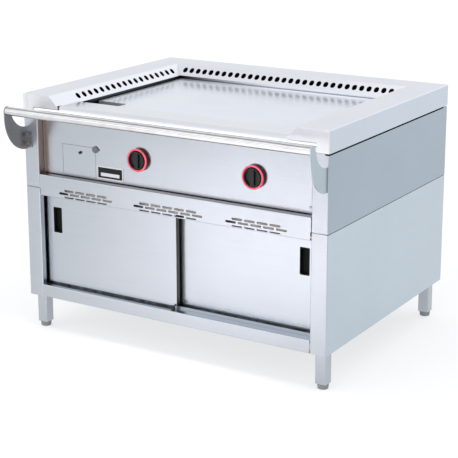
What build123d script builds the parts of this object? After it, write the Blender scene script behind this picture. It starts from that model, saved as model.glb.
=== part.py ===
"""A free-standing gas flat-top grill on an enclosed cabinet with two sliding doors.

Working frame of the functions below: x from the middle, to the right seen from the front,
y from the cabinet's front face towards the back, z up from the floor, millimetres.
save() moves every piece so that the origin is the centre of the whole footprint.
"""
from build123d import *
import math
import os

# ---- driving dimensions ---------------------------------------------------------------
BODY_WIDTH = 1200.0
BODY_DEPTH = 920.0
TOTAL_HEIGHT = 860.0
LEG_HEIGHT = 126.0            # floor to the underside of the cabinet
CABINET_TOP = 528.0           # seam between the cabinet and the cooking unit
SKIRT_BOTTOM = 786.0          # lower edge of the top surround
SHEET = 2.0                   # wall of every folded stainless sheet
BEND = 4.0                    # outside radius of an ordinary fold
TIGHT_BEND = 2.5
FIT = 0.05                    # radial clearance of a running fit

POST_WIDTH = 60.0             # front post folded from each side sheet
PANEL_RECESS = 30.0           # control panel behind the posts' front face
OVERHANG = 1.0                # top surround proud of the side sheets
BACK_RECESS = 30.0            # back sheets in front of the rear folds

RIM_FLAT = 113.0              # flat top of the raised rim, at the left and right
RIM_FLAT_BACK = 116.0
RIM_SLOPE = 38.0              # 45 degree inner slope, across and down
DECK_TOP = 826.0
DECK_REAR = 120.0
NOSE_RADIUS = 25.0
PLATE_TOP = 812.0
PLATE_THICKNESS = 16.0
PLATE_GAP = 10.0              # gutter between the rim's foot and the cooking plate
FLUE_SLOT = (24.0, 19.0)      # down the slope, along the rim
FLUE_SLOT_Z = 841.0

RAIL_RADIUS = 15.0
RAIL_Y = -96.0
RAIL_Z = 814.0
PANEL_FLANGE = 32.0           # flange behind each end of the control panel
SCREW_PLACES = [(x, z) for x in (-520, 520) for z in (601, 768)]

BRACKET_INSET = 6.0
BRACKET_PLATE = 3.0

KNOB_Z = 673.0
KNOB_X = (-132.5, 317.5)      # left and right gas valves
BURNER_Z = 726.0
BURNER_PITCH = 100.0

DRAWER_X = (-455.0, -315.0)
DRAWER_Z = (584.0, 691.0)
BUTTON_X = -314.0             # turn button at the drawer's upper right corner
BUTTON_Z = 686.0

DOOR_WIDTH = 552.0
DOOR_THICKNESS = 18.0
DOOR_Z = (179.0, 518.0)
FRONT_DOOR_Y = 31.0
REAR_DOOR_Y = 58.0
SILL_TOP = 171.0
FLOOR_Z = (151.0, 153.0)      # the cabinet's bottom sheet
LINTEL_Z = (501.0, 577.4)     # slotted strip under the control panel
BASE_Z = (530.0, 532.0)       # floor of the cooking unit

LEG_SIZE = 40.0
FOOT_HEIGHT = 18.0

# ---- worked out from the driving dimensions ---------------------------------------------
HALF = BODY_WIDTH / 2
OPENING = HALF - POST_WIDTH                     # half width between the posts
RIM_INNER = HALF + OVERHANG - RIM_FLAT          # top of the left and right slopes
FOOT_INNER = RIM_INNER - RIM_SLOPE              # foot of the left and right slopes
RIM_BACK = BODY_DEPTH + OVERHANG - RIM_FLAT_BACK
FOOT_BACK = RIM_BACK - RIM_SLOPE
FOOT_Z = TOTAL_HEIGHT - RIM_SLOPE
PLATE_HALF = FOOT_INNER - PLATE_GAP
PLATE_BACK = FOOT_BACK - PLATE_GAP
PLATE_BOTTOM = PLATE_TOP - PLATE_THICKNESS
BACK_Y = BODY_DEPTH - BACK_RECESS
FRONT_EDGE = RAIL_Y - RAIL_RADIUS - 1.0         # outermost point of the rail brackets
BACK_EDGE = BODY_DEPTH + OVERHANG
FOOTPRINT_CENTRE = (FRONT_EDGE + BACK_EDGE) / 2

os.makedirs("parts", exist_ok=True)


# ---- helpers ------------------------------------------------------------------------------
def save(shape, node):
    """Write one node, moved so that the footprint's centre is the origin."""
    export_step(Pos(0, -FOOTPRINT_CENTRE, 0) * shape, f"parts/{node}.step")


def block(x, y, z):
    """A box from three (low, high) pairs."""
    size = [high - low for low, high in (x, y, z)]
    middle = [(low + high) / 2 for low, high in (x, y, z)]
    return Pos(*middle) * Box(*size)


def folded(points, bends, side):
    """The section of a folded sheet, from its outer face's corners."""
    outer = FilletPolyline(*points, radius=bends)
    return make_face(offset(outer, amount=SHEET, side=side))


def upright(section, z):
    """An (x, y) section extruded between two heights."""
    return Pos(0, 0, z[0]) * extrude(section, z[1] - z[0])


def across(section, x):
    """A (y, z) section extruded between two x positions."""
    return extrude(Plane.YZ.offset(x[0]) * section, x[1] - x[0])


def along_y(radius, x, z, y):
    """A cylinder on an axis parallel to y."""
    axis = Plane(origin=(x, y[0], z), x_dir=(1, 0, 0), z_dir=(0, 1, 0))
    return extrude(axis * Circle(radius), y[1] - y[0])


def along_x(radius, y, z, x):
    """A cylinder on an axis parallel to x."""
    axis = Plane(origin=(x[0], y, z), x_dir=(0, 1, 0), z_dir=(1, 0, 0))
    return extrude(axis * Circle(radius), x[1] - x[0])


def along_z(radius, x, y, z):
    """A cylinder on an upright axis."""
    return Pos(x, y, z[0]) * extrude(Circle(radius), z[1] - z[0])


def slot_y(length, width, x, z, y):
    """An obround cutter along x, pushed through a sheet parallel to the front."""
    face = Plane(origin=(x, y[0], z), x_dir=(1, 0, 0), z_dir=(0, 1, 0))
    return extrude(face * SlotOverall(length, width), y[1] - y[0])


def pipe(points, bend, outer, inner):
    """A hollow pipe along straight runs and bends."""
    path = FilletPolyline(*points, radius=bend)
    start = Plane(origin=path @ 0, z_dir=path % 0)
    return sweep(start * Circle(outer), path) - sweep(start * Circle(inner), path)


def group(solids):
    """Separate solids that share one node."""
    return Compound(children=list(solids))


def both_sides(left):
    """The left piece and its mirror image on the right."""
    return {"left": left, "right": mirror(left, about=Plane.YZ)}


# ---- cabinet --------------------------------------------------------------------------------
def side_section(front_return):
    """The side sheet seen from above: inner return, front post, side and rear fold."""
    points = [*front_return, (-OPENING, 0), (-HALF, 0), (-HALF, BODY_DEPTH), (-HALF + 30, BODY_DEPTH)]
    bends = [TIGHT_BEND] * (len(front_return) - 1) + [BEND] * 3
    return folded(points, bends, Side.RIGHT)


def lower_side():
    return upright(side_section([(-OPENING, 20)]), (LEG_HEIGHT, CABINET_TOP - 1))


def upper_side():
    """The cooking unit's side: flange for the control panel, reveal under the skirt."""
    flange_y = PANEL_RECESS + SHEET
    section = side_section([(-OPENING + PANEL_FLANGE, flange_y), (-OPENING, flange_y)])
    side = upright(section, (CABINET_TOP + 1, SKIRT_BOTTOM - 1))
    for x, z in SCREW_PLACES:
        side -= along_y(2.4, x, z, (PANEL_RECESS, PANEL_RECESS + 10))
    reveal = (SKIRT_BOTTOM - 6, SKIRT_BOTTOM)
    side -= block((-HALF - 1, -HALF + 15), (-1, BODY_DEPTH + 1), reveal)
    for z in BRACKET_BOLT_Z:
        side -= along_y(3.3, -BRACKET_BOLT_X, z, (-1, 5))
    return side


def back_sheet(z):
    """A back sheet with a rearward fold along each side."""
    edge = HALF - SHEET
    points = [(-edge, BACK_Y + 18), (-edge, BACK_Y - 2), (edge, BACK_Y - 2), (edge, BACK_Y + 18)]
    return upright(folded(points, BEND, Side.LEFT), z)


def upper_back():
    """The cooking unit's back, with cooling slots and the gas inlet hole."""
    sheet = back_sheet((CABINET_TOP + 1, SKIRT_BOTTOM - 2))
    for column in range(-4, 5):
        for z in (726, 746):
            sheet -= slot_y(70, 8, column * 95, z, (BACK_Y - 5, BACK_Y + 5))
    return sheet - along_y(12.5, SUPPLY_X, MANIFOLD_Z, (BACK_Y - 5, BACK_Y + 5))


def cabinet_floor():
    edge = HALF - SHEET
    return block((-edge, edge), (22, BACK_Y - SHEET), FLOOR_Z)


def front_beam():
    """Sill under the doors: bottom return, front face, sill top and rear flange."""
    points = [(24, LEG_HEIGHT), (0, LEG_HEIGHT), (0, SILL_TOP), (88, SILL_TOP), (88, FLOOR_Z[1])]
    return across(folded(points, 3.0, Side.RIGHT), (-OPENING + 0.5, OPENING - 0.5))


def lower_rails():
    """A narrow rib under the middle of each door."""
    rails = []
    for door_y in (FRONT_DOOR_Y, REAR_DOOR_Y):
        middle = door_y + DOOR_THICKNESS / 2
        rails.append(block((-535, 535), (middle - 1.5, middle + 1.5), (SILL_TOP, SILL_TOP + 7)))
    return group(rails)


def upper_track():
    """Inverted double channel that guides the doors' upper edges."""
    base = CABINET_TOP - 4
    track = block((-539, 539), (22, 85), (base, base + SHEET))
    for y in (22.0, 52.5, 83.0):
        track += block((-539, 539), (y, y + SHEET), (base - 16, base))
    return track


def centre_guide():
    """Rubber button on the sill in front of the meeting edges of the doors."""
    button = along_z(6.5, 5, 21, (SILL_TOP, SILL_TOP + 13))
    return fillet(button.edges().sort_by(Axis.Z)[-1], 4.5)


LOUVRE_Z = 520.0


def louvre_panel():
    """Strip under the control panel, with three groups of staggered slots."""
    points = [(20, LINTEL_Z[0]), (0, LINTEL_Z[0]), (0, LINTEL_Z[1]), (PANEL_RECESS - 2, LINTEL_Z[1])]
    panel = across(folded(points, 3.0, Side.RIGHT), (-OPENING + 0.5, OPENING - 0.5))
    for sign in (-1, 1):
        edge = sorted((sign * (OPENING - 3), sign * OPENING))
        panel -= block(edge, (-1, 30), (LINTEL_Z[0] - 4, CABINET_TOP))
    cutters = []
    for centre, count in ((-340, 4), (0, 5), (340, 4)):
        for row, extra in ((-11, 0), (0, 1), (11, 0)):
            slots = count + extra
            for index in range(slots):
                x = centre + 47 * (index - (slots - 1) / 2)
                cutters.append(slot_y(40, 8, x, LOUVRE_Z + row, (-2, 5)))
    return panel - cutters


# ---- sliding doors ---------------------------------------------------------------------------
HANDLE_SIZE = (35.0, 92.0)
HANDLE_Z = 410.0
HANDLE_INSET = 50.0           # door's outer edge to the middle of the handle
SHOE_INSET = 70.0


def door_span(sign):
    """The low and high x of a closed door; its outer edge is at the post."""
    outer = OPENING - 2
    return (-outer, DOOR_WIDTH - outer) if sign < 0 else (outer - DOOR_WIDTH, outer)


def shoe_positions(sign):
    low, high = door_span(sign)
    return (low + SHOE_INSET, high - SHOE_INSET)


def sliding_door(sign, y):
    """A double-skinned panel, open where the handle and the shoes go in."""
    low, high = door_span(sign)
    outside = block((low, high), (y, y + DOOR_THICKNESS), DOOR_Z)
    upright_edges = outside.edges().filter_by(Axis.Z).group_by(Axis.Y)[0]
    outside = fillet(upright_edges, 2.5)
    inside = block((low + SHEET, high - SHEET), (y + SHEET, y + DOOR_THICKNESS - SHEET),
                   (DOOR_Z[0] + SHEET, DOOR_Z[1] - SHEET))
    door = outside - inside
    x = sign * (OPENING - 2 - HANDLE_INSET)
    half_width = HANDLE_SIZE[0] / 2 - 1
    half_height = HANDLE_SIZE[1] / 2 - 1
    door -= block((x - half_width, x + half_width), (y - 1, y + 5),
                  (HANDLE_Z - half_height, HANDLE_Z + half_height))
    for shoe_x in shoe_positions(sign):
        door -= block((shoe_x - 20, shoe_x + 20), (y + 3, y + DOOR_THICKNESS - 3),
                      (DOOR_Z[0] - 1, DOOR_Z[0] + 3))
    return door


def door_handle(sign, y):
    """A recessed pull: thin flange on the door's face and a cup behind it."""
    x = sign * (OPENING - 2 - HANDLE_INSET)
    face = Plane(origin=(x, y, HANDLE_Z), x_dir=(1, 0, 0), z_dir=(0, -1, 0))
    width, height = HANDLE_SIZE
    flange = extrude(face * RectangleRounded(width, height, 3), 1.2)
    cup = extrude(face * RectangleRounded(width - 3, height - 3, 2), -14)
    recess = extrude(face.offset(2) * RectangleRounded(width - 7, height - 7, 2), -14)
    return flange + cup - recess


def door_shoes(sign, y):
    """Two nylon shoes that straddle the rib on the sill."""
    middle = y + DOOR_THICKNESS / 2
    shoes = []
    for x in shoe_positions(sign):
        shoe = block((x - 20, x + 20), (middle - 6, middle + 6), (SILL_TOP + 1, DOOR_Z[0] + 18))
        groove = block((x - 21, x + 21), (middle - 2, middle + 2), (SILL_TOP, SILL_TOP + 7.4))
        shoes.append(shoe - groove)
    return group(shoes)


# ---- legs and feet ---------------------------------------------------------------------------
LEG_X = HALF - 12 - LEG_SIZE / 2
LEG_Y = {"front": 24 + LEG_SIZE / 2, "back": BODY_DEPTH - 44 - LEG_SIZE / 2}
LEG_PLACES = [(side, row) for row in ("front", "back") for side in ("left", "right")]
FOOT_STEM = 6.0


def leg_centre(side, row):
    return (-LEG_X if side == "left" else LEG_X, LEG_Y[row])


def leg(side, row):
    """A square tube with a bolting plate on top and a threaded plug at the bottom."""
    x, y = leg_centre(side, row)
    tube = Rectangle(LEG_SIZE, LEG_SIZE)
    tube = fillet(tube.vertices(), 4) - Rectangle(LEG_SIZE - 4, LEG_SIZE - 4)
    post = Pos(x, y, FOOT_HEIGHT) * extrude(tube, FLOOR_Z[0] - 4 - FOOT_HEIGHT)
    post += Pos(x, y, FLOOR_Z[0] - 2) * Box(50, 50, 4)
    post += Pos(x, y, FOOT_HEIGHT + 7) * Box(LEG_SIZE - 3, LEG_SIZE - 3, 14)
    return post - along_z(FOOT_STEM + FIT, x, y, (FOOT_HEIGHT - 1, FOOT_HEIGHT + 20))


def foot(side, row):
    """A tapered foot with the screw stem that goes up into the leg."""
    x, y = leg_centre(side, row)
    top = FOOT_HEIGHT - 0.3
    taper = Pos(x, y, top / 2) * Cone(17.5, 20, top)
    return taper + along_z(FOOT_STEM, x, y, (top - 1, 58))


# ---- top ---------------------------------------------------------------------------------------
def pocket(inset):
    """The open space inside the rim, widened by a sheet's thickness."""
    half = FOOT_INNER + inset
    back = FOOT_BACK + inset
    fold_z = FOOT_Z + inset * math.tan(math.radians(22.5))
    rise = TOTAL_HEIGHT + 5 - fold_z
    front = -200
    plan = Pos(0, (front + back) / 2) * Rectangle(2 * half, back - front)
    low = Pos(0, 0, 700) * extrude(plan, fold_z - 700)
    return low + Pos(0, 0, fold_z) * extrude(plan, rise, taper=-45)


def flue_slots():
    """Cutters for the exhaust slots along the left, back and right slopes."""
    length, width = FLUE_SLOT
    middle = (RIM_INNER + FOOT_INNER) / 2
    cutters = []
    for index in range(18):
        y = 142 + 35 * index
        for sign in (-1, 1):
            face = Plane(origin=(sign * middle, y, FLUE_SLOT_Z), x_dir=(sign, 0, 1),
                         z_dir=(-sign, 0, 1))
            cutters.append(extrude(face * SlotOverall(length, width), 5, both=True))
    for index in range(31):
        x = 29.27 * (index - 15)
        face = Plane(origin=(x, (RIM_BACK + FOOT_BACK) / 2, FLUE_SLOT_Z), x_dir=(0, 1, 1),
                     z_dir=(0, -1, 1))
        cutters.append(extrude(face * SlotOverall(length, width), 5, both=True))
    return cutters


def gutter():
    """Ledge round the foot of the rim: the gutter's floor and the plate's support."""
    wall = FOOT_INNER + 1
    inner = FIREBOX_HALF - SHEET
    ledge_z = (PLATE_BOTTOM - SHEET, PLATE_BOTTOM)
    ledge = block((-wall, wall), (DECK_REAR + 23, FOOT_BACK + 1), ledge_z)
    ledge -= block((-inner, inner), (DECK_REAR, FIREBOX_Y[1] - SHEET), (700, 800))
    return ledge - block(DRAIN_X, DRAIN_Y, (700, 800))


def top_surround():
    """Raised rim on three sides: skirt, flat top, slotted slope and two flush front ends."""
    outer = HALF + OVERHANG
    full = block((-outer, outer), (-OVERHANG, BACK_EDGE), (SKIRT_BOTTOM, TOTAL_HEIGHT))
    corners = full.edges().filter_by(Axis.Z)
    full = fillet(corners, BEND)
    full = fillet(full.faces().sort_by(Axis.Z)[-1].edges(), 3.0)
    full -= pocket(0)
    full -= block((-outer + 18, outer - 18), (-OVERHANG - 1, 0), (700, 900))
    hollow = block((-outer + SHEET, outer - SHEET), (SHEET, BACK_EDGE - SHEET),
                   (SKIRT_BOTTOM - 5, TOTAL_HEIGHT - SHEET))
    rim = full - (hollow - pocket(SHEET))
    apron_half = APRON_HALF + 0.5
    rim -= block((-apron_half, apron_half), (SHEET, 27), (700, DECK_TOP + 0.5))
    rim -= block((-apron_half, apron_half), (-1, SHEET + 0.1), (700, DECK_TOP - 10))
    return rim + gutter() - flue_slots()


APRON_HALF = 554.5


def front_deck():
    """Rounded front edge, flat strip in front of the plate and the plate's front ledge."""
    points = [(22, SKIRT_BOTTOM - 1), (0, SKIRT_BOTTOM - 1), (0, DECK_TOP),
              (DECK_REAR, DECK_TOP), (DECK_REAR, PLATE_BOTTOM), (DECK_REAR + 22, PLATE_BOTTOM)]
    section = folded(points, [3.0, NOSE_RADIUS, 3.0, 2.5], Side.RIGHT)
    deck = across(section, (-APRON_HALF, APRON_HALF))
    for sign in (-1, 1):
        beside = sorted((sign * (FOOT_INNER - 0.5), sign * (APRON_HALF + 1)))
        deck -= block(beside, (26, 200), (700, 900))
    return deck


DRAIN_X = (-450.0, -318.0)
DRAIN_Y = (177.0, 225.0)


def griddle_plate():
    """Thick cooking plate, open at its front left corner where the grease runs off."""
    plate = block((-PLATE_HALF, PLATE_HALF), (DECK_REAR + 3, PLATE_BACK),
                  (PLATE_BOTTOM, PLATE_TOP))
    plate = chamfer(plate.faces().sort_by(Axis.Z)[-1].edges(), 1.0)
    drain = block(DRAIN_X, DRAIN_Y, (PLATE_BOTTOM - 1, PLATE_TOP + 1))
    drain = fillet(drain.edges().filter_by(Axis.Z), 10)
    return plate - drain


def drain_chute():
    """Funnel from the plate's drain to just above the grease drawer."""
    def funnel(wall, overrun):
        top = Pos(-381, 201, PLATE_BOTTOM - SHEET + overrun) * Rectangle(134 - wall, 60 - wall)
        bottom = Pos(-385, 201, TRAY_Z[1] + 4 - overrun) * Rectangle(104 - wall, 48 - wall)
        return loft([bottom, top])
    return funnel(0, 0) - funnel(2 * SHEET, 0.5)


# ---- gas train and fire box ------------------------------------------------------------------------
MANIFOLD_Y = 66.0
MANIFOLD_Z = 634.0
MANIFOLD_RADIUS = 13.45
SUPPLY_X = 545.0
INLET_RADIUS = 10.48
FIREBOX_HALF = 430.0
FIREBOX_Y = (236.0, 747.0)
FLUE_WINDOW_Z = (762.0, 787.0)
AIR_WINDOW_Z = (548.0, 603.0)
VENTURI_RADIUS = 15.0
BURNER_RADIUS = 19.0
VENTURI_MOUTH = 158.0


def burner_tubes(knob_x):
    """The x of a burner's three tubes; the venturi feeds the one behind the valve."""
    sign = 1 if knob_x > 0 else -1
    inner = knob_x if sign < 0 else knob_x - 2 * BURNER_PITCH
    return [inner + sign * BURNER_PITCH * step for step in range(3)]


def burner(knob_x):
    """Three slotted tubes joined by a cross tube, fed through one venturi."""
    tubes = burner_tubes(knob_x)
    low, high = min(tubes), max(tubes)
    cross_y = FIREBOX_Y[0] + 45

    def tube_set(wall):
        radius = BURNER_RADIUS - wall
        shape = along_x(radius, cross_y, BURNER_Z, (low - 25 + wall, high + 25 - wall))
        for x in tubes:
            shape += along_y(radius, x, BURNER_Z, (cross_y, FIREBOX_Y[1] - 25 - wall))
        return shape + along_y(VENTURI_RADIUS - wall, knob_x, BURNER_Z,
                               (VENTURI_MOUTH - wall, cross_y))

    body = tube_set(0) + along_y(VENTURI_RADIUS + 4, knob_x, BURNER_Z,
                                 (VENTURI_MOUTH, VENTURI_MOUTH + 12))
    ports = []
    for x in tubes:
        for step in range(13):
            y = cross_y + 40 + 31 * step
            ports.append(block((x - 8, x + 8), (y - 1.5, y + 1.5), (BURNER_Z, BURNER_Z + 30)))
    return body - tube_set(SHEET) - ports


def burner_supports():
    """Two angle bars joined by a strap, which carry the burner tubes inside the fire box."""
    top = BURNER_Z - BURNER_RADIUS - 0.3
    span = (-FIREBOX_HALF + SHEET, FIREBOX_HALF - SHEET)
    front, rear = FIREBOX_Y[0] + 90, FIREBOX_Y[1] - 60
    frame = block((-12, 12), (front + 20, rear - 20), (top - SHEET, top))
    for y, depth, side in ((front, 25, Side.RIGHT), (rear, -25, Side.LEFT)):
        section = folded([(y, top - 26), (y, top), (y + depth, top)], BEND, side)
        frame += across(section, span)
    return frame


def firebox():
    """Four walls that carry the plate, open for air low down and for the flue high up."""
    span = (-FIREBOX_HALF, FIREBOX_HALF)
    walls = block(span, FIREBOX_Y, (BASE_Z[1], PLATE_BOTTOM - SHEET))
    inner = (-FIREBOX_HALF + SHEET, FIREBOX_HALF - SHEET)
    walls -= block(inner, (FIREBOX_Y[0] + SHEET, FIREBOX_Y[1] - SHEET), (500, PLATE_BOTTOM + 10))
    for step in range(4):
        y = FIREBOX_Y[0] + 66 + 126 * step
        walls -= block((-500, 500), (y - 45, y + 45), FLUE_WINDOW_Z)
        walls -= block((-500, 500), (y - 45, y + 45), AIR_WINDOW_Z)
    for step in range(7):
        x = 120 * (step - 3)
        walls -= block((x - 45, x + 45), (700, 800), FLUE_WINDOW_Z)
        walls -= block((x - 45, x + 45), (200, 800), AIR_WINDOW_Z)
    for x in KNOB_X:
        walls -= along_y(VENTURI_RADIUS + 2, x, BURNER_Z, (200, 260))
    return walls


def heat_shield():
    """Floor of the fire box, with air holes between the burners."""
    shield = block((-FIREBOX_HALF + SHEET, FIREBOX_HALF - SHEET),
                   (FIREBOX_Y[0] + SHEET, FIREBOX_Y[1] - SHEET), (622, 624))
    holes = []
    for column in range(-3, 4):
        for row in range(4):
            holes.append(along_z(16, column * 120, 300 + 125 * row, (610, 630)))
    return shield - holes


def base_tray():
    """Floor of the cooking unit, with two rows of air slots."""
    edge = HALF - SHEET
    tray = block((-edge, edge), (34, BACK_Y - SHEET), BASE_Z)
    slots = []
    for column in range(-3, 4):
        for y in (330, 620):
            slots.append(Pos(column * 120, y, BASE_Z[0] - 5) * extrude(SlotOverall(80, 14), 20))
    return tray - slots


def gas_manifold():
    """Pipe along the front, round the right side to the back, with one boss per valve."""
    points = [(KNOB_X[0] - 40, MANIFOLD_Y, MANIFOLD_Z), (SUPPLY_X, MANIFOLD_Y, MANIFOLD_Z),
              (SUPPLY_X, BACK_Y - 12, MANIFOLD_Z)]
    run = pipe(points, 45, MANIFOLD_RADIUS, MANIFOLD_RADIUS - 2.4)
    run += along_x(MANIFOLD_RADIUS, MANIFOLD_Y, MANIFOLD_Z, (KNOB_X[0] - 46, KNOB_X[0] - 40))
    for x in KNOB_X:
        run += along_z(9, x, MANIFOLD_Y, (MANIFOLD_Z + 9, MANIFOLD_Z + 16))
        run -= along_z(4, x, MANIFOLD_Y, (MANIFOLD_Z, MANIFOLD_Z + 20))
    return run


def gas_inlet_fitting():
    """Hexagon and male nipple that stand in the recess of the back."""
    start = BACK_Y - 12
    face = Plane(origin=(SUPPLY_X, start, MANIFOLD_Z), x_dir=(1, 0, 0), z_dir=(0, 1, 0))
    fitting = extrude(face * RegularPolygon(17, 6), 8)
    fitting += along_y(INLET_RADIUS, SUPPLY_X, MANIFOLD_Z, (start + 8, BODY_DEPTH - 2))
    return fitting - along_y(7.5, SUPPLY_X, MANIFOLD_Z, (start - 1, BODY_DEPTH))


STEM_RADIUS = 4.0
STEM_FRONT = 15.0             # the stem ends inside the knob's grip bar
STEM_FLAT = 2.5
PLUG_RADIUS = 7.0


def keyed(radius, flat, x, y):
    """A round bar along y with one flat, the form of a valve stem's driving end."""
    bar = along_y(radius, x, KNOB_Z, y)
    above = block((x - 20, x + 20), (y[0] - 1, y[1] + 1), (KNOB_Z + flat, KNOB_Z + 20))
    return bar - above


def gas_valve(x):
    """Valve body with its stub down to the manifold."""
    body = along_y(16, x, KNOB_Z, (46, 90))
    body += along_z(8, x, MANIFOLD_Y, (MANIFOLD_Z + 16, KNOB_Z))
    body -= along_y(PLUG_RADIUS + FIT, x, KNOB_Z, (52, 84))
    body -= along_y(STEM_RADIUS + 0.5, x, KNOB_Z, (40, 60))
    body -= along_y(3, x, KNOB_Z, (80, 95))
    return body - along_z(4, x, MANIFOLD_Y, (MANIFOLD_Z, KNOB_Z - 6))


def valve_plug(x):
    """Rotor that the stem turns and slides in."""
    plug = along_y(PLUG_RADIUS, x, KNOB_Z, (52.5, 83.5))
    return plug - keyed(STEM_RADIUS + FIT, STEM_FLAT + FIT, x, (50, 90))


def valve_stem(x):
    stem = along_y(STEM_RADIUS, x, KNOB_Z, (STEM_FRONT, 47))
    return stem + keyed(STEM_RADIUS, STEM_FLAT, x, (46, 78))


def supply_tubes():
    """Bent tube from each valve up to its injector."""
    tubes = []
    for x in KNOB_X:
        points = [(x, 90, KNOB_Z), (x, 112, KNOB_Z), (x, 112, BURNER_Z), (x, 136, BURNER_Z)]
        tubes.append(pipe(points, 12, 5, 3.5))
    return group(tubes)


def injectors():
    """Hexagonal jet in front of each burner's venturi."""
    jets = []
    for x in KNOB_X:
        face = Plane(origin=(x, 136, BURNER_Z), x_dir=(1, 0, 0), z_dir=(0, 1, 0))
        jet = extrude(face * RegularPolygon(8, 6), 10) + along_y(5, x, BURNER_Z, (146, 153))
        jets.append(jet - along_y(1, x, BURNER_Z, (130, 160)))
    return group(jets)


def pilot_burners():
    """Pilot head and flame sensor on a bracket inside the fire box's front wall."""
    pilots = []
    wall = FIREBOX_Y[0] + SHEET
    for x in KNOB_X:
        middle = x + 38
        pilot = block((middle - 18, middle + 18), (wall, wall + SHEET), (BURNER_Z - 10, BURNER_Z + 22))
        pilot += block((middle - 18, middle + 18), (wall, wall + 18), (BURNER_Z + 20, BURNER_Z + 22))
        pilot += along_z(5, middle - 9, wall + 10, (BURNER_Z, BURNER_Z + 34))
        pilot += along_z(2.5, middle + 9, wall + 10, (BURNER_Z, BURNER_Z + 40))
        pilots.append(pilot)
    return group(pilots)


# ---- control panel ---------------------------------------------------------------------------------
PANEL_Z = (578.0, 784.0)


def control_panel():
    """Recessed front with the drawer's opening, knob holes and screw holes."""
    face = PANEL_RECESS
    points = [(face + 18, PANEL_Z[0]), (face, PANEL_Z[0]), (face, PANEL_Z[1]), (face + 18, PANEL_Z[1])]
    panel = across(folded(points, 3.0, Side.RIGHT), (-OPENING + TIGHT_BEND, OPENING - TIGHT_BEND))
    for sign in (-1, 1):
        ends = sorted((sign * (OPENING - PANEL_FLANGE - 3), sign * OPENING))
        panel -= block(ends, (face + SHEET, face + 30), (500, 800))
    opening = block((DRAWER_X[0] - 1, DRAWER_X[1] + 1), (0, 80), (DRAWER_Z[0] - 1, DRAWER_Z[1] + 1))
    opening -= along_y(11.5, BUTTON_X, BUTTON_Z, (0, 80))
    panel -= opening
    panel -= along_y(2.5 + FIT, BUTTON_X, BUTTON_Z, (0, 80))
    for x in KNOB_X:
        panel -= along_y(7, x, KNOB_Z, (0, 80))
    for x, z in SCREW_PLACES:
        panel -= along_y(2.4, x, z, (0, 80))
    return panel


def panel_screws():
    screws = []
    for x, z in SCREW_PLACES:
        head = along_y(4.5, x, z, (PANEL_RECESS - 2.6, PANEL_RECESS))
        head = fillet(head.edges().sort_by(Axis.Y)[0], 1.8)
        head -= block((x - 3, x + 3), (0, PANEL_RECESS - 1.6), (z - 0.6, z + 0.6))
        head -= block((x - 0.6, x + 0.6), (0, PANEL_RECESS - 1.6), (z - 3, z + 3))
        screws.append(head + along_y(2.1, x, z, (PANEL_RECESS - 0.5, PANEL_RECESS + 9)))
    return group(screws)


def name_plate():
    """A blank plate with a raised border."""
    face = Plane(origin=(-253.5, PANEL_RECESS, 609), x_dir=(1, 0, 0), z_dir=(0, -1, 0))
    plate = extrude(face * RectangleRounded(110, 46, 2), 1.6)
    return plate - extrude(face.offset(1.1) * RectangleRounded(105, 41, 1.5), 2)


KNOB_Y = (12.0, 23.5)         # face and back of the knob
KNOB_RADIUS = 31.0
COLLAR_FRONT = 19.0
COLLAR_BORE = 34.2


def knob(x):
    """Round knob with a raised grip bar between two hollows."""
    front, back = KNOB_Y
    body = along_y(KNOB_RADIUS, x, KNOB_Z, (front, back))
    body = fillet(body.edges().sort_by(Axis.Y)[0], 1.5)
    hollow = along_y(KNOB_RADIUS - 3.5, x, KNOB_Z, (front - 1, front + 7))
    bar = block((x - 7, x + 7), (front - 2, front + 9), (KNOB_Z - 40, KNOB_Z + 40))
    body -= hollow - bar
    return body - along_y(STEM_RADIUS + FIT, x, KNOB_Z, (STEM_FRONT - 0.1, back + 1))


def knob_bezels():
    """Black collar around each knob, closed against the panel."""
    bezels = []
    for x in KNOB_X:
        collar = along_y(38, x, KNOB_Z, (COLLAR_FRONT, PANEL_RECESS))
        collar -= along_y(COLLAR_BORE, x, KNOB_Z, (COLLAR_FRONT - 1, PANEL_RECESS - 2))
        bezels.append(collar - along_y(6, x, KNOB_Z, (20, PANEL_RECESS + 1)))
    return group(bezels)


def knob_rings():
    """Coloured ring on the front of each collar."""
    rings = []
    for x in KNOB_X:
        ring = along_y(40, x, KNOB_Z, (COLLAR_FRONT - 4.5, COLLAR_FRONT))
        ring -= along_y(COLLAR_BORE - 0.8, x, KNOB_Z, (0, COLLAR_FRONT + 1))
        front_edges = ring.edges().filter_by(GeomType.CIRCLE).group_by(Axis.Y)[0]
        rings.append(fillet(front_edges, 2.2))
    return group(rings)


# ---- grease drawer -----------------------------------------------------------------------------------
TRAY_X = (-447.0, -323.0)
TRAY_Y = (PANEL_RECESS + SHEET, 232.0)
TRAY_Z = (586.0, 672.0)


def drawer_front():
    """Face plate, notched round the turn button at its upper right corner."""
    plate = block(DRAWER_X, (PANEL_RECESS, PANEL_RECESS + SHEET), DRAWER_Z)
    return plate - along_y(12.7, BUTTON_X, BUTTON_Z, (0, 80))


def drawer_tray():
    tray = block(TRAY_X, TRAY_Y, TRAY_Z)
    tray = fillet(tray.edges().filter_by(Axis.Z), 6)
    inside = block((TRAY_X[0] + SHEET, TRAY_X[1] - SHEET), (TRAY_Y[0] + SHEET, TRAY_Y[1] - SHEET),
                   (TRAY_Z[0] + SHEET, TRAY_Z[1] + 1))
    return tray - fillet(inside.edges().filter_by(Axis.Z), 4)


def drawer_pull():
    """Small round pull on the drawer's face."""
    x, z = -379, 668
    pull = along_y(5, x, z, (PANEL_RECESS - 6, PANEL_RECESS - 2.5))
    pull = fillet(pull.edges().sort_by(Axis.Y)[0], 1.5)
    return pull + along_y(3.5, x, z, (PANEL_RECESS - 3, PANEL_RECESS))


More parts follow.
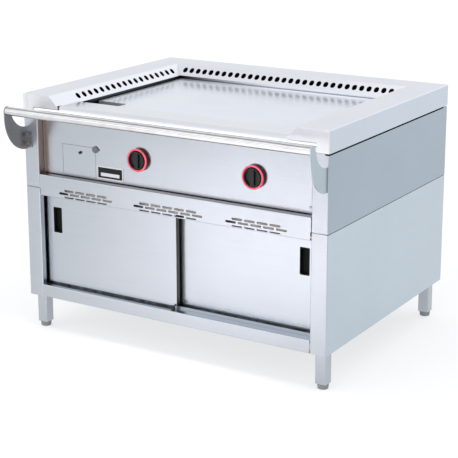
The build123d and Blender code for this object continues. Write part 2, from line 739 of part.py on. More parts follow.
def drawer_runners():
    """Two angles from the base tray that carry the drawer's lower edges."""
    span = (50, 232)
    left = block((TRAY_X[0] - 6, TRAY_X[0] - 4), span, (BASE_Z[1], TRAY_Z[0] - 0.5))
    left += block((TRAY_X[0] - 4, TRAY_X[0] + 6), span, (TRAY_Z[0] - 2.5, TRAY_Z[0] - 0.5))
    right = block((TRAY_X[1] + 4, TRAY_X[1] + 6), span, (BASE_Z[1], TRAY_Z[0] - 0.5))
    right += block((TRAY_X[1] - 6, TRAY_X[1] + 4), span, (TRAY_Z[0] - 2.5, TRAY_Z[0] - 0.5))
    return group([left, right])


def turn_button():
    """Round button with a short tongue; half a turn brings the tongue over the drawer."""
    back = PANEL_RECESS - 0.6
    disc = along_y(12, BUTTON_X, BUTTON_Z, (back - 3.6, back))
    disc = fillet(disc.edges().sort_by(Axis.Y)[0], 1.2)
    tongue = slot_y(26, 8, BUTTON_X + 4, BUTTON_Z, (back - 2.6, back))
    pin = along_y(2.5, BUTTON_X, BUTTON_Z, (back - 1, PANEL_RECESS + 10))
    return disc + tongue + pin


# ---- handrail ------------------------------------------------------------------------------------------
BRACKET_BOLT_X = HALF - BRACKET_INSET - BRACKET_PLATE - 14
BRACKET_BOLT_Z = (684.0, 712.0)


def handrail():
    end = HALF - BRACKET_INSET - BRACKET_PLATE
    tube = along_x(RAIL_RADIUS, RAIL_Y, RAIL_Z, (-end, end))
    return tube - along_x(RAIL_RADIUS - SHEET, RAIL_Y, RAIL_Z, (-end - 1, end + 1))


def rail_bracket():
    """Crescent plate from the post to the rail's end, with a bolted flange."""
    outer = RAIL_Y - RAIL_RADIUS - 1
    inner = RAIL_Y + RAIL_RADIUS + 1
    start = (0, 663)
    shoulder = (outer, 791)
    curve = EllipticalCenterArc((0, 791), -outer, 128, start_angle=180, arc_size=90)
    upright_edge = Line(shoulder, (outer, RAIL_Z))
    horn = ThreePointArc((outer, RAIL_Z), (RAIL_Y, RAIL_Z + RAIL_RADIUS + 1), (inner, RAIL_Z))
    bite = ThreePointArc((inner, RAIL_Z), (-50, 761), (0, 743))
    back = Line((0, 743), start)
    section = make_face([curve, upright_edge, horn, bite, back])
    low = -HALF + BRACKET_INSET
    plate = across(section, (low, low + BRACKET_PLATE))
    flange = block((low + BRACKET_PLATE - 0.5, low + BRACKET_PLATE + 26), (-3, 0), (671, 725))
    for z in BRACKET_BOLT_Z:
        flange -= along_y(3.3, -BRACKET_BOLT_X, z, (-10, 5))
    return plate + flange


def bracket_bolts():
    bolts = []
    for sign in (-1, 1):
        x = sign * BRACKET_BOLT_X
        for z in BRACKET_BOLT_Z:
            face = Plane(origin=(x, -3, z), x_dir=(1, 0, 0), z_dir=(0, -1, 0))
            bolts.append(extrude(face * RegularPolygon(5.8, 6), 4) + along_y(3, x, z, (-3.5, 10)))
    return group(bolts)


# ---- build everything ------------------------------------------------------------------------------------
for name, piece in both_sides(lower_side()).items():
    save(piece, f"{name}_lower_side")
for name, piece in both_sides(upper_side()).items():
    save(piece, f"{name}_upper_side")
for name, piece in both_sides(rail_bracket()).items():
    save(piece, f"{name}_rail_bracket")

save(back_sheet((LEG_HEIGHT, CABINET_TOP - 1)), "lower_back")
save(upper_back(), "upper_back")
save(cabinet_floor(), "cabinet_floor")
save(front_beam(), "front_beam")
save(lower_rails(), "lower_rails")
save(upper_track(), "upper_track")
save(centre_guide(), "centre_guide")
save(louvre_panel(), "louvre_panel")

for name, sign, door_y in (("left", -1, FRONT_DOOR_Y), ("right", 1, REAR_DOOR_Y)):
    save(sliding_door(sign, door_y), f"{name}_door")
    save(door_handle(sign, door_y), f"{name}_door_handle")
    save(door_shoes(sign, door_y), f"{name}_door_shoes")

save(group(leg(side, row) for side, row in LEG_PLACES), "legs")
for side, row in LEG_PLACES:
    save(foot(side, row), f"{row}_{side}_foot")

save(top_surround(), "top_surround")
save(front_deck(), "front_deck")
save(griddle_plate(), "griddle_plate")
save(drain_chute(), "drain_chute")
save(firebox(), "firebox")
save(heat_shield(), "heat_shield")
save(base_tray(), "base_tray")
save(burner_supports(), "burner_supports")
save(gas_manifold(), "gas_manifold")
save(gas_inlet_fitting(), "gas_inlet_fitting")
save(supply_tubes(), "supply_tubes")
save(injectors(), "injectors")
save(pilot_burners(), "pilot_burners")

for name, knob_x in zip(("left", "right"), KNOB_X):
    save(burner(knob_x), f"{name}_burner")
    save(gas_valve(knob_x), f"{name}_gas_valve")
    save(valve_plug(knob_x), f"{name}_valve_plug")
    save(valve_stem(knob_x), f"{name}_valve_stem")
    save(knob(knob_x), f"{name}_knob")

save(knob_bezels(), "knob_bezels")
save(knob_rings(), "knob_rings")
save(control_panel(), "control_panel")
save(panel_screws(), "panel_screws")
save(name_plate(), "name_plate")
save(drawer_front(), "drawer_front")
save(drawer_tray(), "drawer_tray")
save(drawer_pull(), "drawer_pull")
save(drawer_runners(), "drawer_runners")
save(turn_button(), "turn_button")
save(handrail(), "handrail")
save(bracket_bolts(), "bracket_bolts")
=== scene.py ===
"""Looks, light and camera for the gas flat-top grill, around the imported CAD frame."""
import math

import bpy
from mathutils import Matrix, Vector


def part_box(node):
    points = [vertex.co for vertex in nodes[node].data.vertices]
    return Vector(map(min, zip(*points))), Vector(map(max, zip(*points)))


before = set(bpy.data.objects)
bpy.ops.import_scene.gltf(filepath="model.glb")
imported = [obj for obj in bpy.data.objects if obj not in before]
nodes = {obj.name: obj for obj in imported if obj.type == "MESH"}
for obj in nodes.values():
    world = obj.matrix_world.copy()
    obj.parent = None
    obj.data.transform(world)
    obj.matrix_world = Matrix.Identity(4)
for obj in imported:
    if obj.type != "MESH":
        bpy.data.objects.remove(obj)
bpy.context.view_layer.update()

# ---- camera: in front, to the right and above -----------------------------------------------
CAMERA_PLACE = Vector((2.4694, -4.0456, 1.7382))
CAMERA_YAW = 31.477            # degrees to the left of +Y
CAMERA_PITCH = 14.281          # degrees below the horizon
CAMERA_ROLL = -0.052           # degrees
CAMERA_LENS = 108.001          # millimetres, on a sensor 36 wide
CAMERA_SENSOR = 36.0
CAMERA_SHIFT_Y = -0.1026
CAMERA_REACH = 200.0           # metres, past the far edge of the floor

# ---- colours (linear) ---------------------------------------------------------------------
STEEL = (0.455, 0.483, 0.525)
STEEL_BRIGHT = (0.72, 0.725, 0.76)
# painted shade: the left bracket is a darker copy of the bracket steel, for the shade on the face seen
LEFT_BRACKET_SHADED = (0.31, 0.305, 0.31)
STEEL_RIGHT_BRACKET = (0.41, 0.48, 0.52)
# painted shade and light: the outer side faces are darker or lighter copies of their steel, for how light
# falls on them
SKIRT_SIDE_SHADED = (0.545, 0.60, 0.67)
UPPER_SIDE_SHADED = (0.35, 0.412, 0.475)
LOWER_SIDE_LIT = (0.49, 0.56, 0.62)
STEEL_DARK = (0.30, 0.29, 0.29)
STEEL_GALVANISED = (0.50, 0.46, 0.43)
PLATE_DULL, PLATE_BRIGHT = (0.65, 0.68, 0.75), (0.71, 0.73, 0.78)
TUBE_DULL, TUBE_BRIGHT = (0.60, 0.60, 0.61), (0.69, 0.69, 0.70)
# painted reflection: the colour of the dark bands along the rail
TUBE_REFLECTED_DARK = (0.26, 0.20, 0.17)
BRASS = (0.62, 0.42, 0.16)
PIPE_GREY = (0.33, 0.34, 0.35)
BURNER_GREY = (0.16, 0.155, 0.15)
BLACK = (0.012, 0.013, 0.014)
RUBBER = (0.018, 0.018, 0.018)
NYLON = (0.03, 0.03, 0.032)
BUTTON_GREY = (0.11, 0.115, 0.12)
FOOT_GREY = (0.20, 0.21, 0.22)
RING_RED = (0.90, 0.075, 0.13)
BADGE_METAL = (0.60, 0.61, 0.64)
BADGE_ENAMEL = (0.012, 0.012, 0.014)
FLOOR_DARK, FLOOR_LIGHT = (0.36, 0.36, 0.36), (0.38, 0.38, 0.38)
WHITE = (1.0, 1.0, 1.0)

# ---- colours of painted shade and reflection --------------------------------------------------
# painted shade: near black on inner faces and under the closed doors, where shade falls
SHADE_BLACK = (0.03, 0.028, 0.026)
# painted shade in the gutter round the foot of the rim
GUTTER_SHADE = (0.05, 0.055, 0.06)
CORNER_SHADE = (0.38, 0.33, 0.31)   # painted shade and reflection: steel darkened on the inner faces of the posts and in the panel's corner beside the left post
# painted shade on the doors' edges where they meet
DOOR_EDGE_SHADE = (0.11, 0.11, 0.095)
# painted shade on the ledge in the gap under the control panel
LEDGE_SHADE = (0.27, 0.24, 0.24)

# ---- places on the object (metres) ---------------------------------------------------------
SIDE_WALL = 0.595              # inner faces of the outer side walls lie outside this
BACK_WALL = 0.500
RIM_BACK_WALL = 0.505
UPPER_BACK = 0.470
BEYOND = 1.0                   # outside the object: no wall lies past this
OUTER_FACE = 0.42              # x times the normal's x is above this on the outer side faces
INNER_FACE = 0.3               # and below minus this on the inner side faces
FACING = 0.5                   # a normal's part along an axis, above this, faces that way
LEVEL = 0.7                    # an upward part above this is a level face
POST_INSIDE = 0.535            # inner faces of the front posts lie just outside this
PANEL_SHADE_END = -0.500           # right of this the control panel has no painted shade
DOORS_MEET = 0.03              # the doors' meeting edges lie within this of the middle
GUTTER_TOP = 0.8215            # foot of the rim's slope
GUTTER_HALF = 0.455
GUTTER_FRONT = -0.290
GUTTER_BACK = 0.366
GUTTER_SHADE_FADE = (-0.43, -0.02)    # the gutter's painted shade is full at the first x and gone at the second
LEDGE_HEIGHT = 0.572           # the ledge under the control panel is above this
BADGE_BORDER = 0.0045
BADGE_BAR_INSET = 0.016
BADGE_BAR_HALF = 0.006
BADGE_BAR_DROP = 0.006

# Painted reflections along the rail, as dark lengthwise bands: (height over the axis in radii, half width in
# radii, strength)
TUBE_REFLECTED_BANDS = (
    (0.80, 0.12, 0.75),
    (0.34, 0.10, 0.55),
    (-0.62, 0.16, 0.45),
)
NOISE_LOW, NOISE_HIGH = 0.3, 0.7   # nearly all of a noise's values lie between these
STEEL_SHADE = 0.06             # steel's colour varies by this much either way
STEEL_TONE = 0.12              # tone at which that variation is full
STEEL_RUB = 0.02               # its roughness varies by this much either way
REFLECTED_BAND_CORE = 0.3                # part of a painted reflection band's half width that is at full strength
GRAIN = {                      # stretch of the noise for grain along an axis
    "x": (0.02, 1, 1),
    "z": (1, 1, 0.02),
    "xy": (0.02, 0.02, 1),
}


# ---- node helpers ---------------------------------------------------------------------------
class Shader:
    """A material's node tree with short calls for the nodes this scene uses."""

    def __init__(self, name):
        self.material = bpy.data.materials.new(name)
        self.material.use_nodes = True
        self.tree = self.material.node_tree
        self.bsdf = self.tree.nodes["Principled BSDF"]
        self.place = self.tree.nodes.new("ShaderNodeTexCoord").outputs["Object"]

    def new(self, kind, **settings):
        """A new node of this kind, with its settings."""
        node = self.tree.nodes.new(kind)
        for key, value in settings.items():
            setattr(node, key, value)
        return node

    def link(self, source, target):
        self.tree.links.new(source, target)

    def set(self, **values):
        """Constants on the shader's own sockets; an underscore stands for a space."""
        for key, value in values.items():
            socket = self.bsdf.inputs[key.replace("_", " ")]
            socket.default_value = (*value, 1.0) if isinstance(value, tuple) else value

    def noise(self, scale, stretch=(1, 1, 1), detail=3.0, roughness=0.5):
        """Noise over the object's own coordinates, in cycles per metre along each axis."""
        mapping = self.new("ShaderNodeMapping")
        mapping.inputs["Scale"].default_value = stretch
        self.link(self.place, mapping.inputs["Vector"])
        noise = self.new("ShaderNodeTexNoise")
        noise.inputs["Scale"].default_value = scale
        noise.inputs["Detail"].default_value = detail
        noise.inputs["Roughness"].default_value = roughness
        self.link(mapping.outputs["Vector"], noise.inputs["Vector"])
        return noise.outputs["Fac"]

    def spread(self, source, low=0.0, high=1.0, source_low=NOISE_LOW, source_high=NOISE_HIGH):
        """Maps a value from one range to another, without going past its ends."""
        node = self.new("ShaderNodeMapRange")
        node.inputs["From Min"].default_value = source_low
        node.inputs["From Max"].default_value = source_high
        node.inputs["To Min"].default_value = low
        node.inputs["To Max"].default_value = high
        self.link(source, node.inputs["Value"])
        return node.outputs["Result"]

    def combine(self, operation, a, b):
        """Arithmetic on two values, each a socket or a number."""
        node = self.new("ShaderNodeMath", operation=operation)
        for index, value in enumerate((a, b)):
            if isinstance(value, (int, float)):
                node.inputs[index].default_value = value
            else:
                self.link(value, node.inputs[index])
        return node.outputs["Value"]

    def size_of(self, value):
        """The value without its sign."""
        return self.combine("ABSOLUTE", value, 0.0)

    def all_of(self, *tests):
        """1 where every test is 1."""
        total = tests[0]
        for test in tests[1:]:
            total = self.combine("MULTIPLY", total, test)
        return total

    def axes(self, source):
        """The X, Y and Z of a vector."""
        node = self.new("ShaderNodeSeparateXYZ")
        self.link(source, node.inputs["Vector"])
        return node.outputs["X"], node.outputs["Y"], node.outputs["Z"]

    def position(self):
        return self.axes(self.place)

    def normal(self):
        return self.axes(self.new("ShaderNodeNewGeometry").outputs["Normal"])

    def paint(self, **sources):
        """Links sources to the shader's own sockets; an underscore stands for a space."""
        for key, source in sources.items():
            self.link(source, self.bsdf.inputs[key.replace("_", " ")])

    def mix_colour(self, factor, first, second):
        """Goes from the first colour to the second; each is a socket or a constant."""
        node = self.new("ShaderNodeMix", data_type="RGBA")
        self.link(factor, node.inputs["Factor"])
        for socket, value in ((node.inputs["A"], first), (node.inputs["B"], second)):
            if isinstance(value, tuple):
                socket.default_value = (*value, 1.0)
            else:
                self.link(value, socket)
        return node.outputs["Result"]

    def bump(self, height, strength, distance):
        """A normal roughened by a height of this distance in metres."""
        node = self.new("ShaderNodeBump")
        node.inputs["Strength"].default_value = strength
        node.inputs["Distance"].default_value = distance
        self.link(height, node.inputs["Height"])
        return node.outputs["Normal"]


def scaled(colour, factor):
    """The colour made darker or lighter, and never past white."""
    return tuple(min(1.0, channel * factor) for channel in colour)


def around(colour, amount):
    """The colour made darker and lighter by the same part."""
    return scaled(colour, 1 - amount), scaled(colour, 1 + amount)


# ---- where painted light and shade lie -----------------------------------------------------------
def inward(shader, side_wall, back_wall):
    """1 on the faces of the side and back walls that look inwards, which get painted shade."""
    x, y, _ = shader.position()
    normal_x, normal_y, _ = shader.normal()
    at_side = shader.combine("GREATER_THAN", shader.size_of(x), side_wall)
    at_back = shader.combine("GREATER_THAN", y, back_wall)
    side_faces_in = shader.combine("LESS_THAN", shader.combine("MULTIPLY", x, normal_x), -INNER_FACE)
    back_faces_in = shader.combine("LESS_THAN", normal_y, -FACING)
    side = shader.all_of(at_side, side_faces_in)
    back = shader.all_of(at_back, back_faces_in)
    return shader.combine("MAXIMUM", side, back)


def post_inside(shader):
    """1 on the inner faces of the front posts and of the side walls, which get painted shade and reflection.
    """
    return inward(shader, POST_INSIDE, BEYOND)


def unit_inside(shader):
    """1 on the inner faces of the cooking unit's side walls, which get near black painted shade."""
    return inward(shader, SIDE_WALL, BACK_WALL)


def rim_inside(shader):
    """1 on the inner faces of the rim's skirt, which get near black painted shade."""
    return inward(shader, SIDE_WALL, RIM_BACK_WALL)


def back_inside(shader):
    """1 on the inner face of the cooking unit's back, which gets near black painted shade."""
    return inward(shader, BEYOND, UPPER_BACK)


def sideways(shader):
    """1 on the outer faces at the left and right, which get painted light or shade."""
    x, _, _ = shader.position()
    normal_x, _, _ = shader.normal()
    return shader.combine("GREATER_THAN", shader.combine("MULTIPLY", x, normal_x), OUTER_FACE)


def meeting_edge(shader):
    """1 on the doors' inner edges where the doors meet, which get painted shade."""
    x, _, _ = shader.position()
    normal_x, _, _ = shader.normal()
    near = shader.combine("LESS_THAN", shader.size_of(x), DOORS_MEET)
    edge = shader.combine("GREATER_THAN", shader.size_of(normal_x), FACING)
    return shader.all_of(near, edge)


def panel_corner(shader):
    """1 at the control panel's left end, fading out to the right, for painted shade and reflection."""
    x, _, _ = shader.position()
    wander = shader.spread(shader.noise(12.0, detail=2.0), -0.006, 0.006)
    return shader.spread(shader.combine("ADD", x, wander), 1.0, 0.0, -POST_INSIDE, PANEL_SHADE_END)


def ledge(shader):
    """1 on the narrow ledge under the control panel, which gets painted shade."""
    _, _, z = shader.position()
    _, _, normal_z = shader.normal()
    high = shader.combine("GREATER_THAN", z, LEDGE_HEIGHT)
    level = shader.combine("GREATER_THAN", normal_z, LEVEL)
    return shader.all_of(high, level)


def shaded_gutter(shader):
    """1 on the gutter's walls and floor round the foot of the rim, fading out to the right: there the gutter
    gets painted shade.
    """
    x, y, z = shader.position()
    low = shader.combine("LESS_THAN", z, GUTTER_TOP)
    across = shader.combine("LESS_THAN", shader.size_of(x), GUTTER_HALF)
    before = shader.combine("LESS_THAN", y, GUTTER_BACK)
    behind = shader.combine("GREATER_THAN", y, GUTTER_FRONT)
    return shader.all_of(low, across, before, behind, shader.spread(x, 1.0, 0.0, *GUTTER_SHADE_FADE))


# ---- materials ---------------------------------------------------------------------------------
def steel(name, colour, roughness, grain, haze=0.05, painted_side_colour=None, marks=()):
    """Satin stainless: fine grain along one axis, faint cloudiness and wide rubbed patches.

    The outer side faces take their own colour, a painted shade or painted light for how the light falls on
    that side. Each of the marks is (where, colour).
    """
    shader = Shader(name)
    shader.set(Metallic=1.0)
    along = GRAIN[grain]
    fine = shader.noise(900.0, along, detail=2.0, roughness=0.6)
    coarse = shader.noise(160.0, along, detail=2.0)
    cloud = shader.noise(3.2, detail=4.0, roughness=0.55)
    rubbed = shader.noise(4.0, detail=1.0)
    lines = shader.combine("ADD", shader.spread(coarse, -0.02, 0.02), shader.spread(fine, -0.03, 0.03))
    tone = shader.combine("ADD", shader.spread(cloud, -haze, haze), lines)
    bright = shader.spread(tone, source_low=-STEEL_TONE, source_high=STEEL_TONE)
    base = shader.mix_colour(bright, *around(colour, STEEL_SHADE))
    # painted light and shade: the outer side faces get their own colour
    if painted_side_colour:
        painted_side_base = shader.mix_colour(bright, *around(painted_side_colour, STEEL_SHADE))
        base = shader.mix_colour(sideways(shader), base, painted_side_base)
    for where, mark_colour in marks:
        base = shader.mix_colour(where(shader), base, mark_colour)
    shader.paint(Base_Color=base,
                 Roughness=shader.spread(rubbed, roughness - STEEL_RUB, roughness + STEEL_RUB))
    return shader.material


def guide_rib(name):
    """Steel ribs on the sill, painted near black as shade where a closed door stands over them."""
    low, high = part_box("lower_rails")
    shader = Shader(name)
    shader.set(Metallic=1.0, Roughness=0.35)
    x, y, _ = shader.position()
    row = shader.combine("SUBTRACT", y, (low.y + high.y) / 2)
    sheltered = shader.combine("GREATER_THAN", shader.combine("MULTIPLY", x, row), 0.0)
    patches = shader.spread(shader.noise(60.0, detail=4.0), 0.75, 1.0)
    # painted shade: patchy near black where a closed door stands over the rib
    shader.paint(Base_Color=shader.mix_colour(shader.all_of(sheltered, patches), STEEL, SHADE_BLACK))
    return shader.material


def cooking_plate(name):
    """Ground and polished plate: fine lengthwise scratches and a faint bluish heat bloom."""
    shader = Shader(name)
    shader.set(Metallic=0.65)
    bloom = shader.noise(2.1, detail=5.0, roughness=0.6)
    streaks = shader.noise(520.0, (0.03, 1, 1), detail=3.0, roughness=0.7)
    rubbed = shader.noise(9.0, detail=6.0, roughness=0.6)
    rough = shader.combine("ADD", shader.spread(rubbed, 0.13, 0.21), shader.spread(streaks, -0.03, 0.03))
    shader.paint(Base_Color=shader.mix_colour(shader.spread(bloom), PLATE_DULL, PLATE_BRIGHT),
                 Roughness=rough, Normal=shader.bump(streaks, strength=0.05, distance=0.0003))
    return shader.material


def dull_metal(name, colour, roughness, metallic=1.0, mottle=0.25):
    """Unpolished metal with mottling, for pieces inside the unit."""
    shader = Shader(name)
    shader.set(Metallic=metallic)
    mottling = shader.noise(38.0, detail=6.0, roughness=0.65)
    speck = shader.noise(420.0, detail=3.0)
    shader.paint(Base_Color=shader.mix_colour(shader.spread(mottling), *around(colour, mottle)),
                 Roughness=shader.spread(mottling, roughness - 0.1, roughness + 0.12),
                 Normal=shader.bump(speck, strength=0.15, distance=0.0005))
    return shader.material


def moulded(name, colour, roughness, grain_scale=1400.0, depth=0.12, coat=0.0, gloss=0.5):
    """Moulded plastic or rubber: fine spark-eroded grain and slight wear in the gloss."""
    shader = Shader(name)
    shader.set(Coat_Weight=coat, Coat_Roughness=0.08, Specular_IOR_Level=gloss)
    grain = shader.noise(grain_scale, detail=2.0)
    wear = shader.noise(60.0, detail=5.0, roughness=0.6)
    colours = scaled(colour, 0.85), scaled(colour, 1.25)
    shader.paint(Base_Color=shader.mix_colour(shader.spread(wear), *colours),
                 Roughness=shader.spread(wear, roughness - 0.05, roughness + 0.09),
                 Normal=shader.bump(grain, strength=depth, distance=0.0003))
    return shader.material


def polished_tube(name):
    """Drawn and polished tube: near mirror, with faint draw lines and dark lengthwise bands of painted
    reflection.
    """
    low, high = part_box("handrail")
    middle = (low + high) / 2
    radius = (high.z - low.z) / 2
    shader = Shader(name)
    shader.set(Metallic=1.0)
    lines = shader.noise(700.0, (0.01, 1, 1), detail=2.0, roughness=0.7)
    haze = shader.noise(22.0, detail=4.0)
    wander = shader.spread(shader.noise(6.0, (1, 0.1, 0.1), detail=2.0), -0.06, 0.06)
    _, _, z = shader.position()
    rise = shader.combine("MULTIPLY", shader.combine("SUBTRACT", z, middle.z), 1 / radius)
    rise = shader.combine("ADD", rise, wander)
    # painted reflection: dark bands at fixed heights round the tube
    reflected_bands = 0.0
    for height, half, strength in TUBE_REFLECTED_BANDS:
        offset = shader.size_of(shader.combine("SUBTRACT", rise, height))
        reflected_band = shader.spread(offset, strength, 0.0, REFLECTED_BAND_CORE * half, half)
        reflected_bands = shader.combine("MAXIMUM", reflected_bands, reflected_band)
    bright = shader.mix_colour(shader.spread(haze), TUBE_DULL, TUBE_BRIGHT)
    rough = shader.combine("ADD", shader.spread(haze, 0.09, 0.15), shader.spread(lines, -0.02, 0.02))
    shader.paint(Base_Color=shader.mix_colour(reflected_bands, bright, TUBE_REFLECTED_DARK), Roughness=rough,
                 Normal=shader.bump(lines, strength=0.04, distance=0.0003))
    return shader.material


def blank_plate(name):
    """Black enamel field inside a bright metal border, with one plain light bar."""
    low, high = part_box("name_plate")
    middle = (low + high) / 2
    half = (high - low) / 2
    shader = Shader(name)
    shader.set(Specular_IOR_Level=0.15)
    x, _, z = shader.position()

    def inside(place, centre, reach):
        offset = shader.combine("SUBTRACT", place, centre)
        return shader.combine("LESS_THAN", shader.size_of(offset), reach)

    field = shader.all_of(inside(x, middle.x, half.x - BADGE_BORDER),
                          inside(z, middle.z, half.z - BADGE_BORDER))
    bar = shader.all_of(inside(x, middle.x, half.x - BADGE_BAR_INSET),
                        inside(z, middle.z - BADGE_BAR_DROP, BADGE_BAR_HALF))
    dark = shader.all_of(field, shader.combine("SUBTRACT", 1.0, bar))
    wear = shader.spread(shader.noise(220.0, (0.05, 1, 1), detail=3.0), 0.26, 0.38)
    shader.paint(Base_Color=shader.mix_colour(dark, BADGE_METAL, BADGE_ENAMEL),
                 Metallic=shader.combine("SUBTRACT", 1.0, dark), Roughness=wear)
    return shader.material


def floor_material(name):
    """Plain pale studio floor with the faintest unevenness."""
    shader = Shader(name)
    shader.set(Roughness=0.9, Specular_IOR_Level=0.0, Emission_Color=WHITE, Emission_Strength=0.64)
    cloud = shader.spread(shader.noise(0.8, detail=3.0))
    shader.paint(Base_Color=shader.mix_colour(cloud, FLOOR_DARK, FLOOR_LIGHT))
    return shader.material


materials = {
    "sheet_x": steel("steel_sheet_grain_x", STEEL, 0.24, "x"),
    # painted shade: darker outer sides, and painted shade on the inner faces
    "upper_side": steel("steel_upper_side", STEEL, 0.30, "xy", painted_side_colour=UPPER_SIDE_SHADED,
                        marks=((post_inside, CORNER_SHADE), (unit_inside, SHADE_BLACK))),
    # painted light: the outer sides are a lighter copy of the steel
    "lower_side": steel("steel_lower_side", STEEL, 0.30, "xy", painted_side_colour=LOWER_SIDE_LIT),
    # painted shade and reflection in the panel's left corner
    "panel": steel("steel_panel", STEEL, 0.24, "x", marks=((panel_corner, CORNER_SHADE),)),
    # painted shade on the ledge under the control panel
    "louvre": steel("steel_louvre", STEEL, 0.24, "x", marks=((ledge, LEDGE_SHADE),)),
    # painted shade on the doors' meeting edges
    "door": steel("steel_door", STEEL, 0.24, "x", marks=((meeting_edge, DOOR_EDGE_SHADE),)),
    "sheet_z": steel("steel_leg_grain_z", STEEL, 0.25, "z"),
    # painted shade in the gutter and near black on the skirt's inner faces; the skirt's outer sides are a
    # darker painted shade of the rim
    "rim": steel("steel_rim_bright", STEEL_BRIGHT, 0.34, "xy", haze=0.04, painted_side_colour=SKIRT_SIDE_SHADED,
                 marks=((shaded_gutter, GUTTER_SHADE), (rim_inside, SHADE_BLACK))),
    # painted shade: near black on the back's inner face
    "back": steel("steel_back", STEEL, 0.25, "x", marks=((back_inside, SHADE_BLACK),)),
    "deck": steel("steel_deck_bright", STEEL_BRIGHT, 0.20, "x", haze=0.04),
    # painted shade: the left bracket's steel is darker than the right's
    "left_bracket": steel("steel_left_bracket", LEFT_BRACKET_SHADED, 0.30, "z"),
    "right_bracket": steel("steel_right_bracket", STEEL_RIGHT_BRACKET, 0.30, "z"),
    "inner_steel": dull_metal("steel_inner_dull", STEEL_DARK, 0.48),
    "galvanised": dull_metal("steel_galvanised", STEEL_GALVANISED, 0.45, mottle=0.15),
    "burner": dull_metal("burner_aluminised", BURNER_GREY, 0.62, metallic=0.7),
    "pipe": dull_metal("pipe_grey", PIPE_GREY, 0.45, metallic=0.6, mottle=0.12),
    "brass": dull_metal("brass_machined", BRASS, 0.32, mottle=0.12),
    "plate": cooking_plate("plate_polished"),
    "tube": polished_tube("tube_polished"),
    "knob": moulded("knob_black", scaled(BLACK, 0.7), 0.42, depth=0.06, coat=0.06, gloss=0.3),
    "bezel": moulded("bezel_black", BLACK, 0.42, gloss=0.3),
    "handle": moulded("handle_black", scaled(BLACK, 0.35), 0.65, gloss=0.15),
    "guide": guide_rib("guide_rib"),
    "ring": moulded("ring_red", RING_RED, 0.22, grain_scale=2000.0, depth=0.02, coat=0.6),
    "button": moulded("button_grey", BUTTON_GREY, 0.45),
    "rubber": moulded("rubber_black", RUBBER, 0.7, depth=0.2),
    "nylon": moulded("nylon_dark", NYLON, 0.45),
    "foot": moulded("foot_grey", FOOT_GREY, 0.55, depth=0.2),
    "badge": blank_plate("badge_blank"),
}

NODE_MATERIALS = {
    "sheet_x": ("lower_back", "cabinet_floor", "front_beam", "drawer_front", "drawer_tray", "drawer_runners",
                "panel_screws"),
    "louvre": ("louvre_panel",),
    "panel": ("control_panel",),
    "door": ("left_door", "right_door"),
    "upper_side": ("left_upper_side", "right_upper_side"),
    "lower_side": ("left_lower_side", "right_lower_side"),
    "sheet_z": ("legs",),
    "rim": ("top_surround",),
    "deck": ("front_deck",),
    "left_bracket": ("left_rail_bracket",),
    "right_bracket": ("right_rail_bracket",),
    "back": ("upper_back",),
    "guide": ("lower_rails",),
    "galvanised": ("upper_track", "base_tray"),
    "inner_steel": ("drain_chute", "firebox", "heat_shield", "burner_supports", "left_valve_stem",
                    "right_valve_stem", "bracket_bolts"),
    "burner": ("left_burner", "right_burner"),
    "pipe": ("supply_tubes", "gas_manifold"),
    "brass": ("pilot_burners", "injectors", "gas_inlet_fitting", "left_gas_valve", "right_gas_valve",
              "left_valve_plug", "right_valve_plug"),
    "plate": ("griddle_plate",),
    "tube": ("handrail",),
    "knob": ("left_knob", "right_knob", "drawer_pull"),
    "bezel": ("knob_bezels",),
    "handle": ("left_door_handle", "right_door_handle"),
    "ring": ("knob_rings",),
    "button": ("turn_button",),
    "rubber": ("centre_guide",),
    "nylon": ("left_door_shoes", "right_door_shoes"),
    "foot": ("front_left_foot", "front_right_foot", "back_left_foot", "back_right_foot"),
    "badge": ("name_plate",),
}


def paint_nodes():
    """Gives every CAD node its material, on all of its material slots."""
    for key, names in NODE_MATERIALS.items():
        for name in names:
            mesh = nodes[name].data
            mesh.materials.clear()
            mesh.materials.append(materials[key])


# ---- floor, light and camera ---------------------------------------------------------------------
FLOOR_HALF = 60.0
FLOOR_DROP = 0.0005            # keeps the floor clear of the feet
WORLD_COLOUR = (0.955, 0.98, 1.0)
WORLD_BASE = 1.0
# A lobe is (direction, sharpness, amount): the surroundings are brighter that way.
WORLD_LOBES = (
    ((0.50, 0.83, 0.25), 8.0, 0.7),
    ((-0.50, -0.83, 0.25), 8.0, 0.9),
)
POOL_COLOUR = (1.0, 0.93, 0.96)
POOL_SPREAD = 46               # degrees


def make_floor():
    """A wide square floor just under the feet."""
    corners = [(x * FLOOR_HALF, y * FLOOR_HALF, 0) for x, y in ((-1, -1), (1, -1), (1, 1), (-1, 1))]
    mesh = bpy.data.meshes.new("floor")
    mesh.from_pydata(corners, [], [(0, 1, 2, 3)])
    mesh.materials.append(floor_material("floor_pale"))
    floor = bpy.data.objects.new("floor", mesh)
    floor.location.z = -FLOOR_DROP
    bpy.context.scene.collection.objects.link(floor)


def area_light(name, place, target, size, power, colour=WHITE):
    """A rectangular light at a place, turned to a target; size is (width, height)."""
    data = bpy.data.lights.new(name, "AREA")
    data.shape = "RECTANGLE"
    data.size, data.size_y = size
    data.energy = power
    data.color = colour
    light = bpy.data.objects.new(name, data)
    direction = Vector(target) - Vector(place)
    light.location = place
    light.rotation_mode = "QUATERNION"
    light.rotation_quaternion = direction.to_track_quat("-Z", "Y")
    light.visible_camera = False
    bpy.context.scene.collection.objects.link(light)
    return light


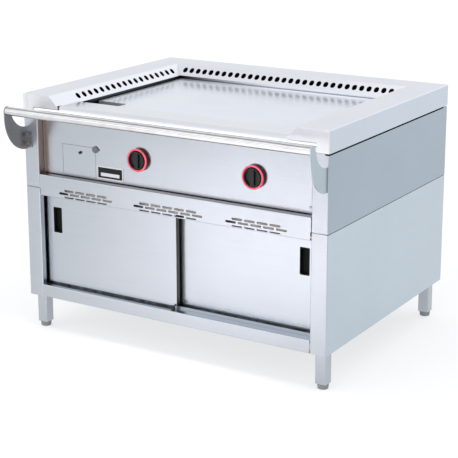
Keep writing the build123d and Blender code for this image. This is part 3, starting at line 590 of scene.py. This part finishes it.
def make_world():
    """Pale surroundings, brighter toward the lobes."""
    world = bpy.data.worlds.new("studio")
    world.use_nodes = True
    bpy.context.scene.world = world
    tree = world.node_tree
    direction = tree.nodes.new("ShaderNodeTexCoord").outputs["Generated"]

    def arithmetic(operation, source, *constants):
        node = tree.nodes.new("ShaderNodeMath")
        node.operation = operation
        tree.links.new(source, node.inputs[0])
        for index, constant in enumerate(constants, 1):
            node.inputs[index].default_value = constant
        return node

    strength = None
    for toward, sharpness, amount in WORLD_LOBES:
        dot = tree.nodes.new("ShaderNodeVectorMath")
        dot.operation = "DOT_PRODUCT"
        dot.inputs[1].default_value = Vector(toward).normalized()
        tree.links.new(direction, dot.inputs[0])
        facing = arithmetic("MAXIMUM", dot.outputs["Value"], 0.0)
        narrowed = arithmetic("POWER", facing.outputs["Value"], sharpness)
        added = arithmetic("MULTIPLY_ADD", narrowed.outputs["Value"], amount, WORLD_BASE)
        if strength:
            tree.links.new(strength, added.inputs[2])
        strength = added.outputs["Value"]
    background = tree.nodes["Background"]
    background.inputs["Color"].default_value = (*WORLD_COLOUR, 1.0)
    tree.links.new(strength, background.inputs["Strength"])


def make_lights():
    """A long pool of light on the floor in front, which the doors and panel mirror, and a top light."""
    pool = area_light("pool_in_front", (-0.44, -1.93, 2.4), (-0.56, -2.12, 0.0), (0.8, 2.9), 32, POOL_COLOUR)
    pool.data.spread = math.radians(POOL_SPREAD)
    area_light("top", (0.2, -0.2, 4.6), (0.2, 0.0, 0.0), (3.0, 3.0), 12)


def make_camera():
    """The camera at the place and angle given at the top."""
    data = bpy.data.cameras.new("camera")
    data.sensor_width = CAMERA_SENSOR
    data.lens = CAMERA_LENS
    data.shift_y = CAMERA_SHIFT_Y
    data.clip_end = CAMERA_REACH
    camera = bpy.data.objects.new("camera", data)
    yaw, pitch = math.radians(CAMERA_YAW), math.radians(CAMERA_PITCH)
    forward = Vector((-math.sin(yaw) * math.cos(pitch), math.cos(yaw) * math.cos(pitch), -math.sin(pitch)))
    turn = forward.to_track_quat("-Z", "Y")
    roll = Matrix.Rotation(math.radians(CAMERA_ROLL), 4, "Z")
    camera.matrix_world = Matrix.Translation(CAMERA_PLACE) @ turn.to_matrix().to_4x4() @ roll
    bpy.context.scene.collection.objects.link(camera)
    bpy.context.scene.camera = camera


paint_nodes()
make_floor()
make_world()
make_lights()
make_camera()
bpy.context.scene.view_settings.view_transform = "Standard"
